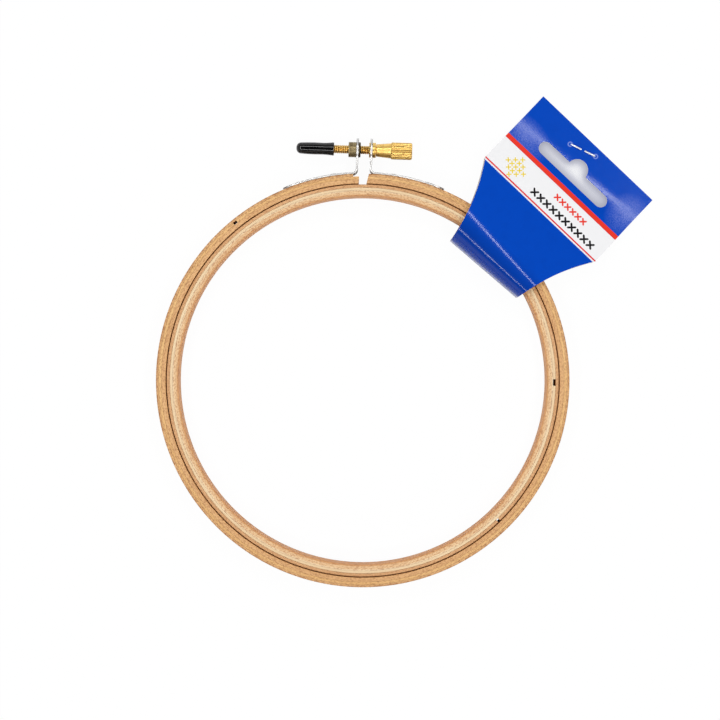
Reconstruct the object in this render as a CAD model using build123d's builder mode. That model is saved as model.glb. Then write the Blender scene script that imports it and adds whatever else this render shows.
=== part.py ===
from build123d import *
from math import acos, cos, degrees, radians, sin, sqrt
import os

# An embroidery hoop that lies flat, with its shop card still looped round it. Millimetres.
# The origin is the hoop's centre on the surface that it lies on. +Z is the hoop's axis, and +Y points
# from the centre to the tightening screw, which runs along X.

# The two wooden rings, each wound from thin strips glued face to face
hoop_diameter = 127.0           # outside of the inner ring, which gives the hoop its size
ring_depth = 9.5
ring_clearance = 0.3            # between the inner ring and the closed outer ring
glue_line = 0.05
inner_outer_ply = 1.0
inner_middle_ply = 0.85
inner_inner_ply = 1.95
outer_inner_ply = 1.35
outer_middle_ply = 0.85
outer_outer_ply = 0.85
bead_height = 0.35              # how far the inner ring's bead stands above its outer ply
bead_round = 1.2
shoulder_round = 0.3
outer_edge_round = 0.5
outer_bore_round = 0.25

# Butt gaps, where the two ends of one strip don't quite meet
inner_outer_gap = 0.85
inner_middle_gap = 2.1
outer_middle_gap = 1.35
inner_outer_gap_angle = -44.0
inner_middle_gap_angle = 1.3
outer_middle_gap_angle = 130.8

# The clamp: the outer ring's cut ends and the two lugs that stand on it
clamp_x = -1.9                  # the clamp's middle, a little to the left of the hoop's Y axis
left_tongue_reach = 1.5         # from the clamp's middle to the end of the inner plies, on the left
left_step = 1.9                 # how much shorter the outermost ply is there
right_end_reach = 1.0           # from the clamp's middle to the right end, at its inner corner
right_end_lean = 12.5           # degrees that the right end leans away from the gap
flex_slit = 0.1                 # where the outer ring bends, opposite the clamp
plate = 0.7
ear_spacing = 3.84
ear_radius = 3.7
leg_width = 5.6
leg_clearance = 0.03            # between a leg and the ring
leg_sweep = 22.8                # degrees of the ring that each leg covers
leg_tip_round = 2.0
bend_round = 1.3
screw_rise = 8.1                # from the ring's outer face to the screw's axis
brad_angles = (8.3, 18.6)       # degrees from the clamp's middle
brad_head_radius = 1.55
brad_head_height = 0.35
brad_shank_radius = 0.55
brad_dome_round = 0.3
brad_depth_share = 0.73         # of the outer ring's wall

# The nut that is riveted into the left lug, and the plain bush in the right one
barrel_radius = 1.85
nut_radius = 2.45
nut_length = 2.58
nut_rim_length = 0.67
nut_clearance = 0.2
nut_edge = 0.15
bush_radius = 2.43
bush_collar_length = 1.1
bush_rim_length = 0.39
bush_clearance = 0.08
bush_edge = 0.12

# The thumb screw and the soft cap on its end
thread_radius = 1.37
thread_pitch = 0.6
thread_groove = 0.2
thread_tip_length = 0.8
screw_reach = 18.5              # from the clamp's middle to the screw's tip
head_play = 0.08                # between the bush's collar and the screw's shoulder
neck_length = 4.8
neck_start_radius = 2.0
neck_end_radius = 2.5
head_radius = 2.75
head_length = 6.9
head_chamfer = 0.3
flute_count = 24
flute_depth = 0.2
cap_reach = 22.2                # from the clamp's middle to the cap's closed end
cap_length = 12.25
cap_clearance = 0.02
cap_tip_radius = 1.74
cap_waist_radius = 1.84
cap_mouth_radius = 2.12
cap_mouth_round = 0.18
cap_dome_round = 1.35
cap_waist_share = 0.49

# The printed card, folded once round both rings and stapled to itself
card_thickness = 0.35
card_gap = 0.1                  # under the rings, which lie on the card
card_angle = 48.3               # direction of the card's middle line
card_offset = -3.4              # the middle line passes the hoop's centre at this distance
fold_skew = 3.0                 # degrees by which the fold isn't square to the middle line
fold_inset = 6.45               # from the inner ring's bore to the outside of the fold
fold_bottom_round = 2.5
fold_top_round = 4.0
card_slack = 0.45               # left above the inner ring when it is pushed all the way up
push_travel = 3.0
crest_margin = 1.0
crest_round = 24.0
card_rest_margin = 7.0
card_bend_round = 60.0
card_lap_round = 16.0
card_reach = 41.35              # from the outer ring to the card's top edge
card_half_width = 24.7
card_shoulder_reach = 13.25     # from the outer ring to where the card's straight sides start
neck_mid_half_width = 17.9
neck_half_width = 14.2
panels_meet_drop = 11.3         # from the card's top edge down to where its two panels come together
panel_gap = 0.05
hang_slot_drop = 12.0           # from the card's top edge to the slot's middle
hang_slot_length = 29.3
hang_slot_width = 4.5
hang_hump_radius = 3.6
hang_hump_rise = 2.1

# The staple, bent over on the printed side
staple_wire = 0.6
staple_width = 9.3
staple_leg = 3.8
staple_bend = 0.42
staple_angle = 17.0             # degrees that the staple is turned from the card's top edge
staple_drop = 3.9               # from the card's top edge to the staple's middle
staple_offset = 3.1
staple_hole_clearance = 0.02

# Worked out from the sizes above
ring_bottom = card_thickness + card_gap
ring_top = ring_bottom + ring_depth
inner_radius = hoop_diameter / 2
inner_middle_face = inner_radius - inner_outer_ply - glue_line
inner_inner_face = inner_middle_face - inner_middle_ply - glue_line
hoop_bore = inner_inner_face - inner_inner_ply
outer_bore = inner_radius + ring_clearance
outer_middle_bore = outer_bore + outer_inner_ply + glue_line
outer_outer_bore = outer_middle_bore + outer_middle_ply + glue_line
outer_radius = outer_outer_bore + outer_outer_ply
outer_wall = outer_radius - outer_bore
clamp_angle = degrees(acos(clamp_x / outer_radius))
leg_face = outer_radius + leg_clearance + plate
brad_depth = leg_face - outer_radius + outer_wall * brad_depth_share
screw_y = outer_radius + screw_rise
screw_z = (ring_bottom + ring_top) / 2
ear_inside = ear_spacing / 2
ear_outside = ear_inside + plate
shoulder_reach = ear_outside + bush_collar_length + head_play
neck_end = shoulder_reach + neck_length
head_end = neck_end + head_length
overrun = 2 * ring_depth
fold_distance = hoop_bore - fold_inset
card_top = outer_radius + card_reach
card_shoulder = outer_radius + card_shoulder_reach
panels_meet = card_top - panels_meet_drop
hang_slot_distance = card_top - hang_slot_drop
staple_distance = card_top - staple_drop

# The screw's own plane: its X runs along the screw, from the clamp's middle towards the head
screw_plane = Plane(origin=(clamp_x, screw_y, screw_z), x_dir=(1, 0, 0), z_dir=(0, 0, 1))
screw_axis = Axis((clamp_x, screw_y, screw_z), (1, 0, 0))


def on_ring(radius, angle):
    """A point at this radius and angle, in degrees from +X."""
    return (radius * cos(radians(angle)), radius * sin(radians(angle)))


def wound_ply(bore, wall, bottom, top, bore_round=0.0, face_round=0.0):
    """One closed strip of wood: a ring with rounded corners at its bore or at its outer face."""
    with BuildPart() as ply:
        with BuildSketch(Plane.XZ) as section:
            with Locations((bore, bottom)):
                Rectangle(wall, top - bottom, align=Align.MIN)
            by_radius = section.vertices().group_by(Axis.X)
            if bore_round:
                fillet(by_radius[0], bore_round)
            if face_round:
                fillet(by_radius[-1], face_round)
        revolve(axis=Axis.Z)
    return ply.part


def cut_gap(radius, angle, length):
    """Cut a butt gap of this length out of a strip, right through its depth."""
    with Locations(Location((*on_ring(radius, angle), screw_z), (0, 0, angle))):
        Box(2 * outer_wall, length, overrun, mode=Mode.SUBTRACT)


def brad_planes(side):
    """The planes, square to the ring, on which the brads of one leg sit."""
    planes = []
    for spread in brad_angles:
        angle = clamp_angle - side * spread
        foot = (*on_ring(leg_face, angle), screw_z)
        planes.append(Plane(origin=foot, z_dir=(*on_ring(1, angle), 0)))
    return planes


def drill_brads(side):
    """Cut the holes that the brads of one leg fill."""
    for plane in brad_planes(side):
        with BuildSketch(plane) as hole:
            Circle(brad_shank_radius)
        extrude(hole.sketch, amount=-brad_depth, mode=Mode.SUBTRACT)


def trim_left(reach):
    """Keep the left half, and end it this far from the clamp's middle."""
    split(bisect_by=Plane.YZ.offset(clamp_x - flex_slit / 2), keep=Keep.BOTTOM)
    with Locations((clamp_x - reach, outer_bore, screw_z)):
        Box(reach + overrun, overrun, overrun, align=(Align.MIN, Align.CENTER, Align.CENTER), mode=Mode.SUBTRACT)


def trim_right():
    """Keep the right half, and end it on the plane that leans away from the gap."""
    split(bisect_by=Plane.YZ.offset(clamp_x + flex_slit / 2), keep=Keep.TOP)
    corner = (clamp_x + right_end_reach, outer_bore, screw_z)
    with Locations(Location(corner, (0, 0, -right_end_lean))):
        Box(overrun, overrun, overrun, align=(Align.MAX, Align.CENTER, Align.CENTER), mode=Mode.SUBTRACT)


# The outer ring's three plies, each in a left and a right half that meet opposite the clamp
outer_plies = (
    ("inner", outer_bore, outer_inner_ply, outer_bore_round, 0.0),
    ("middle", outer_middle_bore, outer_middle_ply, 0.0, 0.0),
    ("outer", outer_outer_bore, outer_outer_ply, 0.0, outer_edge_round),
)
pieces = []
for ply_name, bore, wall, bore_round, face_round in outer_plies:
    strip = wound_ply(bore, wall, ring_bottom, ring_top, bore_round, face_round)

    with BuildPart() as left_ply:
        add(strip)
        trim_left(left_tongue_reach + (left_step if ply_name == "outer" else 0))
        drill_brads(-1)
        if ply_name == "middle":
            cut_gap(bore, outer_middle_gap_angle, outer_middle_gap)
    left_ply.part.label = f"outer_ring_{ply_name}_ply_left"
    pieces.append(left_ply.part)

    with BuildPart() as right_ply:
        add(strip)
        trim_right()
        drill_brads(1)
    right_ply.part.label = f"outer_ring_{ply_name}_ply_right"
    pieces.append(right_ply.part)

# The inner ring's plies: the two inside ones stand proud as a rounded bead
with BuildPart() as inner_ring_outer_ply:
    low = ring_bottom + bead_height
    high = ring_top - bead_height
    add(wound_ply(inner_radius - inner_outer_ply, inner_outer_ply, low, high, face_round=shoulder_round))
    cut_gap(inner_radius, inner_outer_gap_angle, inner_outer_gap)
inner_ring_outer_ply.part.label = "inner_ring_outer_ply"

with BuildPart() as inner_ring_middle_ply:
    add(wound_ply(
        inner_middle_face - inner_middle_ply, inner_middle_ply, ring_bottom, ring_top, face_round=shoulder_round))
    cut_gap(inner_middle_face, inner_middle_gap_angle, inner_middle_gap)
inner_ring_middle_ply.part.label = "inner_ring_middle_ply"

with BuildPart() as inner_ring_inner_ply:
    add(wound_ply(hoop_bore, inner_inner_ply, ring_bottom, ring_top, bore_round=bead_round))
inner_ring_inner_ply.part.label = "inner_ring_inner_ply"
pieces += [inner_ring_outer_ply.part, inner_ring_middle_ply.part, inner_ring_inner_ply.part]


def bracket(side):
    """A lug of bent strip: a leg that hugs the ring, a bend, and a round-headed ear for the screw."""
    ear_face = clamp_x + side * ear_inside
    ear_back = clamp_x + side * ear_outside
    ear_top = screw_y + ear_radius
    leg_back = outer_radius + leg_clearance
    leg_end = clamp_angle - side * leg_sweep
    foot_angle = degrees(acos(ear_face / leg_back))
    heel_angle = degrees(acos(ear_back / leg_face))
    foot = on_ring(leg_back, foot_angle)
    heel = on_ring(leg_face, heel_angle)
    with BuildPart() as lug:
        with BuildSketch(Plane.XY.offset(screw_z - ear_radius)) as strip:
            with BuildLine():
                CenterArc((0, 0), leg_back, leg_end, foot_angle - leg_end)
                CenterArc((0, 0), leg_face, leg_end, heel_angle - leg_end)
                Line(on_ring(leg_back, leg_end), on_ring(leg_face, leg_end))
                Polyline(foot, (ear_face, ear_top), (ear_back, ear_top), heel)
            make_face()
            fillet(strip.vertices().sort_by_distance(foot)[0], bend_round + plate)
            fillet(strip.vertices().sort_by_distance(heel)[0], bend_round)
        extrude(amount=2 * ear_radius)
        with BuildSketch(Plane.YZ):
            with Locations((screw_y, screw_z)):
                Circle(ear_radius)
                Rectangle(screw_y, leg_width, align=(Align.MAX, Align.CENTER))
        extrude(amount=outer_radius, both=True, mode=Mode.INTERSECT)
        with BuildSketch(Plane.YZ.offset(ear_face)):
            with Locations((screw_y, screw_z)):
                Circle(barrel_radius)
        extrude(amount=2 * plate, both=True, mode=Mode.SUBTRACT)
        tip = on_ring((leg_back + leg_face) / 2, leg_end)
        corners = [
            lug.edges().sort_by_distance((*tip, screw_z + way * leg_width / 2))[0] for way in (-1, 1)]
        fillet(corners, leg_tip_round)
        drill_brads(side)
    return lug.part


left_bracket = bracket(-1)
left_bracket.label = "left_bracket"
right_bracket = bracket(1)
right_bracket.label = "right_bracket"
pieces += [left_bracket, right_bracket]


def brads(side):
    """The two brads of one leg: a low domed head and a shank that ends inside the wood."""
    with BuildPart() as pair:
        for plane in brad_planes(side):
            with BuildSketch(plane):
                Circle(brad_head_radius)
            extrude(amount=brad_head_height)
            with BuildSketch(plane):
                Circle(brad_shank_radius)
            extrude(amount=-brad_depth)
            head_centre = plane.origin + plane.z_dir * brad_head_height
            rim = pair.edges().filter_by(GeomType.CIRCLE).sort_by_distance(head_centre)
            fillet(rim.filter_by(lambda edge: (edge.arc_center - head_centre).length < brad_head_height / 2),
                   brad_dome_round)
    return pair.part


for side_name, side in (("left", -1), ("right", 1)):
    pair_of_brads = brads(side)
    pair_of_brads.label = f"{side_name}_bracket_brads"
    pieces.append(pair_of_brads)

# The nut: a turned barrel outside the left lug, riveted over on the inside of the clamp
with BuildPart() as clamp_nut:
    with BuildSketch(screw_plane):
        with BuildLine():
            Polyline(
                (-ear_outside - nut_length, thread_radius + nut_clearance),
                (-ear_outside - nut_length, nut_radius),
                (-ear_outside, nut_radius),
                (-ear_outside, barrel_radius),
                (-ear_inside, barrel_radius),
                (-ear_inside, nut_radius),
                (-ear_inside + nut_rim_length, nut_radius),
                (-ear_inside + nut_rim_length, thread_radius + nut_clearance),
                close=True,
            )
        make_face()
    revolve(axis=screw_axis)
    rims = clamp_nut.edges().filter_by(GeomType.CIRCLE).group_by(Axis.X)
    chamfer([rims[0].sort_by(SortBy.RADIUS)[-1], rims[-1].sort_by(SortBy.RADIUS)[-1]], nut_edge)
clamp_nut.part.label = "clamp_nut"

# The bush: a collar outside the right lug and a thin rim inside it, so the screw can turn but not pull in
with BuildPart() as screw_bush:
    with BuildSketch(screw_plane):
        with BuildLine():
            Polyline(
                (ear_inside - bush_rim_length, thread_radius + bush_clearance),
                (ear_inside - bush_rim_length, bush_radius),
                (ear_inside, bush_radius),
                (ear_inside, barrel_radius),
                (ear_outside, barrel_radius),
                (ear_outside, bush_radius),
                (ear_outside + bush_collar_length, bush_radius),
                (ear_outside + bush_collar_length, thread_radius + bush_clearance),
                close=True,
            )
        make_face()
    revolve(axis=screw_axis)
    rims = screw_bush.edges().filter_by(GeomType.CIRCLE).group_by(Axis.X)
    chamfer(rims[-1].sort_by(SortBy.RADIUS)[-1], bush_edge)
screw_bush.part.label = "screw_bush"

# The thumb screw: a grooved shank, a tapered neck and a fluted grip
with BuildPart() as thumb_screw:
    thread_length = screw_reach - thread_tip_length + shoulder_reach
    groove_count = int(thread_length / thread_pitch)
    root_radius = thread_radius - thread_groove
    outline = [(-screw_reach, 0), (-screw_reach, root_radius), (-screw_reach + thread_tip_length, root_radius)]
    for turn in range(groove_count):
        start = -screw_reach + thread_tip_length + turn * thread_pitch
        outline.append((start + thread_pitch / 2, thread_radius))
        outline.append((start + thread_pitch, root_radius))
    outline += [
        (shoulder_reach, root_radius),
        (shoulder_reach, neck_start_radius),
        (neck_end, neck_end_radius),
        (neck_end, head_radius),
        (head_end, head_radius),
        (head_end, 0),
    ]
    with BuildSketch(screw_plane):
        with BuildLine():
            Polyline(*outline, close=True)
        make_face()
    revolve(axis=screw_axis)
    grip_rims = thumb_screw.edges().filter_by(GeomType.CIRCLE).group_by(Axis.X)[-1]
    chamfer(grip_rims, head_chamfer)
    with BuildSketch(Plane.YZ.offset(clamp_x + neck_end)):
        with Locations((screw_y, screw_z)):
            with PolarLocations(head_radius, flute_count):
                Rectangle(flute_depth, flute_depth, rotation=45)
    extrude(amount=head_length, mode=Mode.SUBTRACT)
thumb_screw.part.label = "thumb_screw"

# The soft cap, stretched over the end of the thread and open towards the nut
with BuildPart() as thread_cap:
    cap_tip = -cap_reach
    cap_mouth = cap_tip + cap_length
    waist_x = cap_tip + cap_length * cap_waist_share
    bore_radius = thread_radius + cap_clearance
    with BuildSketch(screw_plane):
        with BuildLine():
            ThreePointArc((cap_tip, cap_tip_radius), (waist_x, cap_waist_radius), (cap_mouth, cap_mouth_radius))
            Polyline(
                (cap_mouth, cap_mouth_radius),
                (cap_mouth, bore_radius),
                (-screw_reach - head_play, bore_radius),
                (-screw_reach - head_play, 0),
                (cap_tip, 0),
                (cap_tip, cap_tip_radius),
            )
        make_face()
    revolve(axis=screw_axis)
    cap_rims = thread_cap.edges().filter_by(GeomType.CIRCLE).group_by(Axis.X)
    fillet(cap_rims[0], cap_dome_round)
    fillet(cap_rims[-1], cap_mouth_round)
thread_cap.part.label = "thread_cap"
pieces += [clamp_nut.part, screw_bush.part, thumb_screw.part, thread_cap.part]

# The card's own planes: one square to the fold for its bent section, one along its middle line for its outline
fold_angle = card_angle + fold_skew
fold_plane = Plane(origin=(0, 0, 0), x_dir=(*on_ring(1, fold_angle), 0), z_dir=(*on_ring(1, fold_angle - 90), 0))
card_plane = Plane(origin=(0, 0, 0), x_dir=(*on_ring(1, card_angle), 0), z_dir=(0, 0, 1))
half_card = card_thickness / 2
back_height = staple_wire + panel_gap + half_card
front_height = back_height + card_thickness + panel_gap
crest_height = ring_top + push_travel + card_slack + half_card
card_end = card_top + overrun
half_span = (staple_width - staple_wire) / 2


with BuildPart() as hang_card:
    with BuildSketch(fold_plane):
        with BuildLine():
            centre_line = FilletPolyline(
                (card_end, back_height),
                (panels_meet, back_height),
                (outer_radius + card_rest_margin, half_card),
                (fold_distance + half_card, half_card),
                (fold_distance + half_card, crest_height),
                (inner_radius + crest_margin, crest_height),
                (panels_meet, front_height),
                (card_end, front_height),
                radius=[
                    card_bend_round, card_bend_round, fold_bottom_round, fold_top_round, crest_round,
                    card_lap_round],
            )
        trace(centre_line, card_thickness)
    extrude(amount=card_half_width * 2, both=True)
    with BuildSketch(card_plane):
        with Locations((0, card_offset)):
            with BuildLine() as half_outline:
                Polyline((card_top, 0), (card_top, card_half_width), (card_shoulder, card_half_width))
                ThreePointArc(
                    (card_shoulder, card_half_width),
                    (outer_radius, neck_mid_half_width),
                    (fold_distance, neck_half_width),
                )
                Polyline(
                    (fold_distance, neck_half_width),
                    (fold_distance - overrun, neck_half_width),
                    (fold_distance - overrun, 0),
                )
                mirror(about=Plane.XZ)
            make_face()
    extrude(amount=2 * crest_height, both=True, mode=Mode.INTERSECT)
    with BuildSketch(card_plane):
        with Locations((hang_slot_distance, card_offset)):
            SlotOverall(hang_slot_length, hang_slot_width, rotation=90)
        with Locations((hang_slot_distance + hang_hump_rise, card_offset)):
            Circle(hang_hump_radius)
    extrude(amount=crest_height, mode=Mode.SUBTRACT)
    with BuildSketch(card_plane):
        with Locations(Location((staple_distance, card_offset + staple_offset), staple_angle + 90)):
            with Locations((-half_span, 0), (half_span, 0)):
                Circle(staple_wire / 2 + staple_hole_clearance)
    extrude(amount=crest_height, mode=Mode.SUBTRACT)
hang_card.part.label = "hang_card"

with BuildPart() as card_staple:
    staple_base = card_plane.offset(back_height - half_card - staple_wire / 2)
    centre = staple_base.from_local_coords((staple_distance, card_offset + staple_offset, 0))
    along = (*on_ring(1, card_angle + 90 + staple_angle), 0)
    across = (*on_ring(1, card_angle + staple_angle), 0)
    staple_plane = Plane(origin=centre, x_dir=along, z_dir=across)
    leg_height = front_height - back_height + card_thickness + staple_wire
    with BuildLine(staple_plane) as wire_path:
        FilletPolyline(
            (-half_span + staple_leg, leg_height),
            (-half_span, leg_height),
            (-half_span, 0),
            (half_span, 0),
            (half_span, leg_height),
            (half_span - staple_leg, leg_height),
            radius=staple_bend,
        )
    with BuildSketch(Plane(origin=wire_path.line @ 0, z_dir=wire_path.line % 0)):
        Circle(staple_wire / 2)
    sweep(path=wire_path.line)
card_staple.part.label = "card_staple"
pieces += [hang_card.part, card_staple.part]

os.makedirs("parts", exist_ok=True)
for piece in pieces:
    export_step(piece, f"parts/{piece.label}.step")
print(len(pieces), "pieces; outer ring", round(2 * outer_radius, 2), "mm across, screw axis at Y",
      round(screw_y, 2), "and Z", round(screw_z, 2))
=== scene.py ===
# %% [markdown]
# # A wooden embroidery hoop with its shop card
#
# The hoop has two rings of thin wooden strips, a screw clamp on the outer ring, and a printed card that
# is folded round both rings and stapled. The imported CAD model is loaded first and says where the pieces
# are. Blender then adds what a CAD solid lacks: wood grain, turning marks, a real screw thread, the card's
# print and its wear.

# %% Load the fixed frame
from math import acos, atan2, cos, degrees, hypot, pi, radians, sin, tan

import bmesh
import bpy
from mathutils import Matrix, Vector


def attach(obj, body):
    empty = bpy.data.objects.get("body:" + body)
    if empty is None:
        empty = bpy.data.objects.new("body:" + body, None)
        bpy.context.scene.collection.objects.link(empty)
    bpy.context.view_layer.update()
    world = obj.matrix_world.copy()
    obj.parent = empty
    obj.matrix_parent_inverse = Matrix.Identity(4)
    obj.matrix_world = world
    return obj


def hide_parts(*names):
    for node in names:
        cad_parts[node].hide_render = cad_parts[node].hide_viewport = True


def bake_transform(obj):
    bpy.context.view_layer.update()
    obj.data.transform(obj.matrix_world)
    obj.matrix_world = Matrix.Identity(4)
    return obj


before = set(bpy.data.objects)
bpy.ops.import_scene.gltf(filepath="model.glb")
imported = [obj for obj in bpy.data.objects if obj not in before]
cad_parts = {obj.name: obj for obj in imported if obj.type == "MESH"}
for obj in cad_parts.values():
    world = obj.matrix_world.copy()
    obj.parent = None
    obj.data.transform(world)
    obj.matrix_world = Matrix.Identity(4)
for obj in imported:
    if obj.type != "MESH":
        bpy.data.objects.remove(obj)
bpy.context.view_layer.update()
print("CAD nodes:", sorted(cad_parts))

# %% [markdown]
# ## Sizes
#
# All sizes are in millimetres, and MM turns them into Blender's metres. They repeat the CAD model's own
# sizes, so that a dressed piece can take the place of its CAD piece. A wooden strip is given as the
# radius of its inside and its thickness. The card alone is placed by the photograph: its outline lies
# 3.4 mm to the side of the CAD card's.

# %% Sizes of the rings and the clamp
MM = 0.001
INNER_INNER_PLY = (59.6, 1.95)
INNER_MIDDLE_PLY = (61.6, 0.85)
INNER_OUTER_PLY = (62.5, 1.0)
OUTER_INNER_PLY = (63.8, 1.35)
OUTER_MIDDLE_PLY = (65.2, 0.85)
OUTER_OUTER_PLY = (66.1, 0.85)
RING_BOTTOM = 0.45
RING_TOP = 9.95
CLAMP_X = -1.9
SCREW_HEIGHT = 5.2
SCREW = Vector((CLAMP_X, 75.05, SCREW_HEIGHT))


def metres(*millimetres):
    return tuple(MM * value for value in millimetres)


print("inner ring", 2 * sum(INNER_OUTER_PLY), "mm across")

# %% [markdown]
# ## Camera
#
# The photograph looks straight down. Its frame is about 233 mm wide at the top of the rings, and the inner
# wall of the ring shows as a thin band all round, which puts the camera about 0.62 m above them. The hoop
# lies turned by just under two degrees, so the camera is turned instead.

# %% Camera above the hoop
CAMERA_HEIGHT = 620.0
FRAME_WIDTH = 232.9
CAMERA_AIM = (-1.1, 6.6)
CAMERA_TURN = radians(1.9)
SENSOR_WIDTH = 36.0

lens_data = bpy.data.cameras.new("camera_above")
lens_data.sensor_width = SENSOR_WIDTH
lens_data.lens = SENSOR_WIDTH * CAMERA_HEIGHT / FRAME_WIDTH
lens_data.clip_start = 0.01
lens_data.clip_end = 100.0
camera = bpy.data.objects.new("camera_above", lens_data)
camera.location = metres(*CAMERA_AIM, RING_TOP + CAMERA_HEIGHT)
camera.rotation_euler = (0.0, 0.0, CAMERA_TURN)
bpy.context.scene.collection.objects.link(camera)
bpy.context.scene.camera = camera
bpy.context.scene.view_settings.view_transform = "Standard"
print("lens", round(lens_data.lens, 1), "mm")

# %% [markdown]
# ## Selecting
#
# Blender's operators work on what is selected, so each one starts from a clean selection. These helpers
# do what a hand would do at the screen: take one object, go into edit mode, and pick faces or edges by
# their place or by the way they face.

# %% Helpers that select


def clear_selection():
    if bpy.context.mode != "OBJECT":
        bpy.ops.object.mode_set(mode="OBJECT")
    bpy.ops.object.select_all(action="DESELECT")


def take(piece):
    """Make this the one selected object."""
    clear_selection()
    piece.select_set(True)
    bpy.context.view_layer.objects.active = piece


def edit(piece, kind="VERT"):
    take(piece)
    bpy.ops.object.mode_set(mode="EDIT")
    bpy.ops.mesh.select_mode(type=kind)
    bpy.ops.mesh.select_all(action="SELECT")


def pick(piece, kind, test):
    """In edit mode, select the verts, edges or faces that pass the test, and nothing else."""
    shape = bmesh.from_edit_mesh(piece.data)
    for group in (shape.faces, shape.edges, shape.verts):
        for element in group:
            element.select_set(False)
    found = [element for element in getattr(shape, kind) if test(element)]
    for element in found:
        element.select_set(True)
    bmesh.update_edit_mesh(piece.data)
    return len(found)


# %% [markdown]
# ## Finishing a shape
#
# A finished piece has its place in its mesh and its object at the origin, so that a pattern on it stays
# where it is when the hoop is moved. Its doubles are merged and its faces all look outwards.

# %% Helpers that finish a shape
SMOOTH_BELOW = 35.0


def settle(piece):
    """Put the piece's place, turn and scale into its mesh."""
    take(piece)
    bpy.ops.object.transform_apply(location=True, rotation=True, scale=True)
    return piece


def move(piece, offset, turn=0.0):
    piece.rotation_euler = (0, 0, turn)
    piece.location = metres(*offset)
    return settle(piece)


def tidy_shell(piece, merge=0.0005):
    """Merge doubles and turn all faces outwards."""
    edit(piece)
    bpy.ops.mesh.remove_doubles(threshold=MM * merge)
    bpy.ops.mesh.normals_make_consistent(inside=False)
    clear_selection()
    return piece


def smooth(piece, angle=SMOOTH_BELOW):
    take(piece)
    bpy.ops.object.shade_smooth_by_angle(angle=radians(angle))
    return piece


def apply_modifier(piece, kind, **settings):
    take(piece)
    modifier = piece.modifiers.new(kind.lower(), kind)
    for name, value in settings.items():
        setattr(modifier, name, value)
    bpy.ops.object.modifier_apply(modifier=modifier.name)


def cut(piece, cutter, operation="DIFFERENCE"):
    """Cut one mesh with another, and take the cutter away."""
    apply_modifier(piece, "BOOLEAN", operation=operation, solver="EXACT", object=cutter)
    bpy.data.objects.remove(cutter)
    return piece


def joined(pieces):
    clear_selection()
    for piece in pieces:
        piece.select_set(True)
    bpy.context.view_layer.objects.active = pieces[0]
    bpy.ops.object.join()
    return pieces[0]


def dress(piece, name, material, slot, body, *nodes):
    """Name a finished piece, give it its finish, and let it ride in place of CAD nodes."""
    piece.name = name
    if material is not None:
        piece.data.materials.clear()
        piece.data.materials.append(material)
    if nodes:
        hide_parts(*nodes)
    if body:
        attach(piece, body)
    print(name, "has", len(piece.data.polygons), "faces")


# %% [markdown]
# ## Shader sums
#
# A finish could be wired by hand in the node editor, but it is easier to read as a sum. Wire wraps one
# output of a node, and its operators add Math nodes, so that a line such as 1 - mask * 0.5 reads as it
# would on paper.

# %% Wire


class Wire:
    def __init__(self, paint, socket):
        self.paint, self.socket = paint, socket

    def math(self, operation, *others, clamp=False):
        sockets = dict(enumerate((self, *others)))
        return self.paint.node("ShaderNodeMath", {"operation": operation, "use_clamp": clamp}, sockets)

    def __add__(self, other):
        return self.math("ADD", other)

    def __sub__(self, other):
        return self.math("SUBTRACT", other)

    def __mul__(self, other):
        return self.math("MULTIPLY", other)

    def __truediv__(self, other):
        return self.math("DIVIDE", other)

    def __rsub__(self, other):
        return self.paint.node("ShaderNodeMath", {"operation": "SUBTRACT"}, {0: other, 1: self})

    __radd__ = __add__
    __rmul__ = __mul__

    def size(self):
        return self.math("ABSOLUTE")

    def root(self):
        return self.math("POWER", 0.5)

    def step(self, edge, width):
        """0 below the edge and 1 above it, with a soft crossing this wide."""
        return (self - (edge - width / 2)).math("MULTIPLY", 1 / width, clamp=True)

    def between(self, low, high, width):
        return self.step(low, width) * (1 - self.step(high, width))


# %% [markdown]
# ## Paint
#
# Paint holds one material and makes any other node through a single method. A pattern reads Object
# coordinates in millimetres, so it has its real size and stays on the piece.

# %% Paint
MIX_FACTOR, MIX_FIRST, MIX_SECOND, MIX_RESULT = 0, 6, 7, 2


def srgb(red, green, blue):
    """A colour as read from a screen, 0 to 255, in Blender's linear light."""
    linear = [
        value / 12.92 if value <= 0.04045 else ((value + 0.055) / 1.055) ** 2.4
        for value in (red / 255, green / 255, blue / 255)]
    return (*linear, 1.0)


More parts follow.
